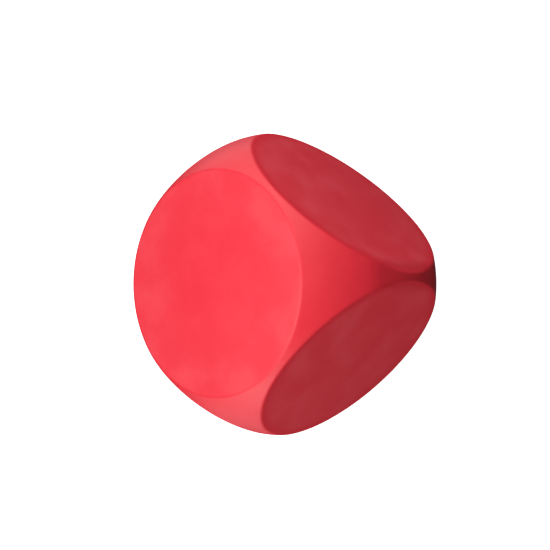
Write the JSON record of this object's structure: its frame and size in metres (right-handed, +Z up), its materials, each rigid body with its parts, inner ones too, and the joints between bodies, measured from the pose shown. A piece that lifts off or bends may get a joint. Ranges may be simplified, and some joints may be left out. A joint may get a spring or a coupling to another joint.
{
  "type": "cue chalk cube",
  "caption": "Small red pressed chalk block for a cue tip: a ball trimmed by round flats with softly rounded rims, with a plain paper disc set into its underside.",
  "frame": {"origin": "middle of the flat ring that the block rests on, at the bottom of the object", "axes": "+Z up, out of the flat that is rubbed on the cue tip; X and Y out of two neighbouring side flats"},
  "size_m": [0.0222, 0.0222, 0.0222],
  "materials": {
    "pressed_chalk": "fine pressed powder, dry satin",
    "label_paper": "uncoated matt"
  },
  "bodies": {
    "root": {"chalk_block": "pressed_chalk", "base_label": "label_paper"}
  },
  "joints": []
}
